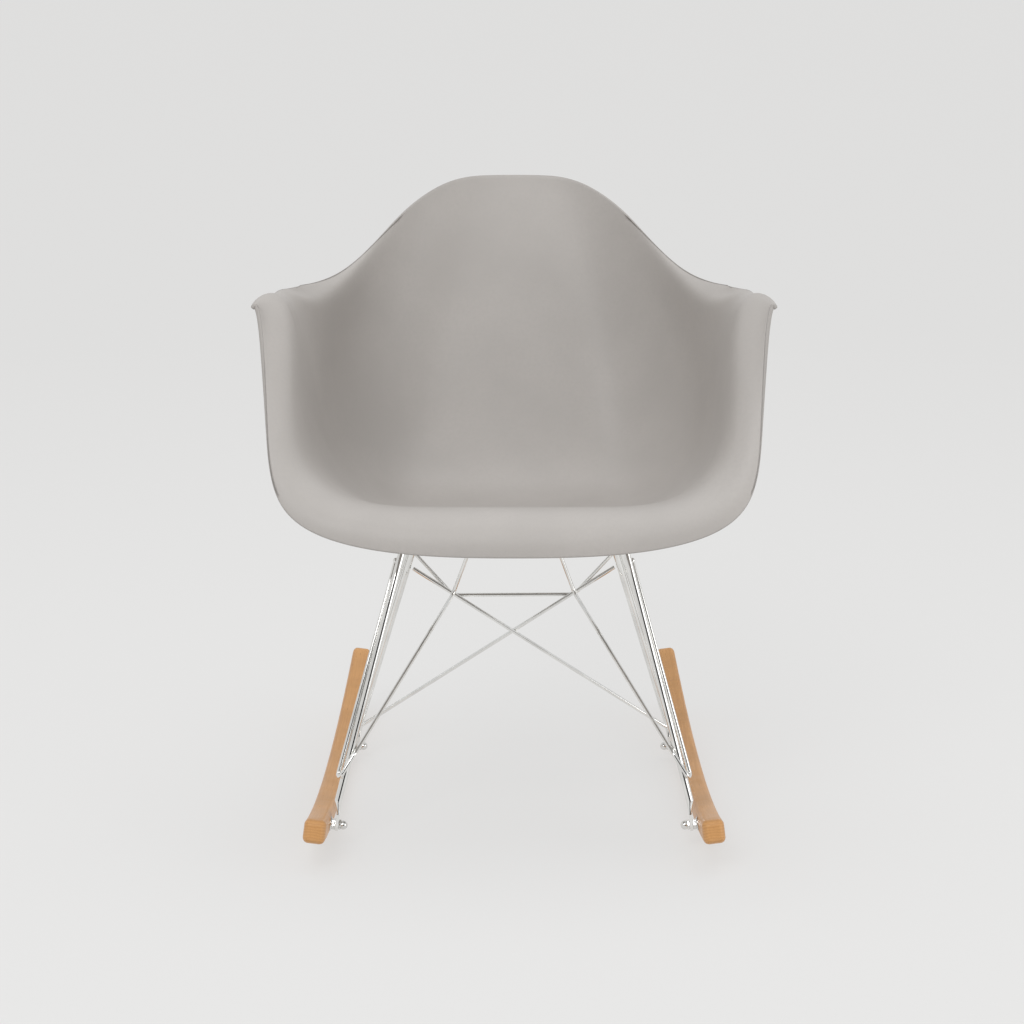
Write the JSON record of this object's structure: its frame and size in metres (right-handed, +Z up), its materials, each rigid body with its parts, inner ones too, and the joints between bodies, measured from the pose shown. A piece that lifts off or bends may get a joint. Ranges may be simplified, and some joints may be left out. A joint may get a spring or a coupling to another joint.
{
  "type": "rocking chair",
  "caption": "Moulded plastic armchair shell on a splayed chromed rod base with crossed wire stays and two curved wooden rockers.",
  "frame": {"origin": "on the floor, under the middle of the chair's overall width and depth", "axes": "+Z up, +Y towards the chair's back, +X to the right for a viewer who faces the chair's front; the chair is symmetrical about the YZ plane"},
  "size_m": [0.592, 0.6906, 0.758],
  "materials": {
    "shell": "fine matte moulded texture",
    "rod": "bright chrome plate",
    "wire": "bright chrome plate",
    "rocker": "clear satin lacquer on maple",
    "pad": "black moulded rubber",
    "fixing": "bright nickel plate"
  },
  "bodies": {
    "root": {"seat_shell": "shell", "mount_pad_front_left": "pad", "mount_pad_front_right": "pad", "mount_pad_rear_left": "pad", "mount_pad_rear_right": "pad", "mount_inserts": "fixing", "mount_plate_front_left": "rod", "mount_plate_front_right": "rod", "mount_plate_rear_left": "rod", "mount_plate_rear_right": "rod", "mount_washers": "fixing", "mount_screws": "fixing", "leg_front_left": "rod", "leg_front_right": "rod", "leg_rear_left": "rod", "leg_rear_right": "rod", "side_rail_left": "rod", "side_rail_right": "rod", "cross_rail_front": "rod", "cross_rail_rear": "rod", "front_stay_left": "wire", "front_stay_right": "wire", "rear_stay_left": "wire", "rear_stay_right": "wire", "rear_spreader": "wire", "rocker_left": "rocker", "rocker_right": "rocker", "rocker_studs": "fixing", "rocker_washers": "fixing", "spacer_nuts": "fixing", "cap_nuts": "fixing"}
  },
  "joints": []
}
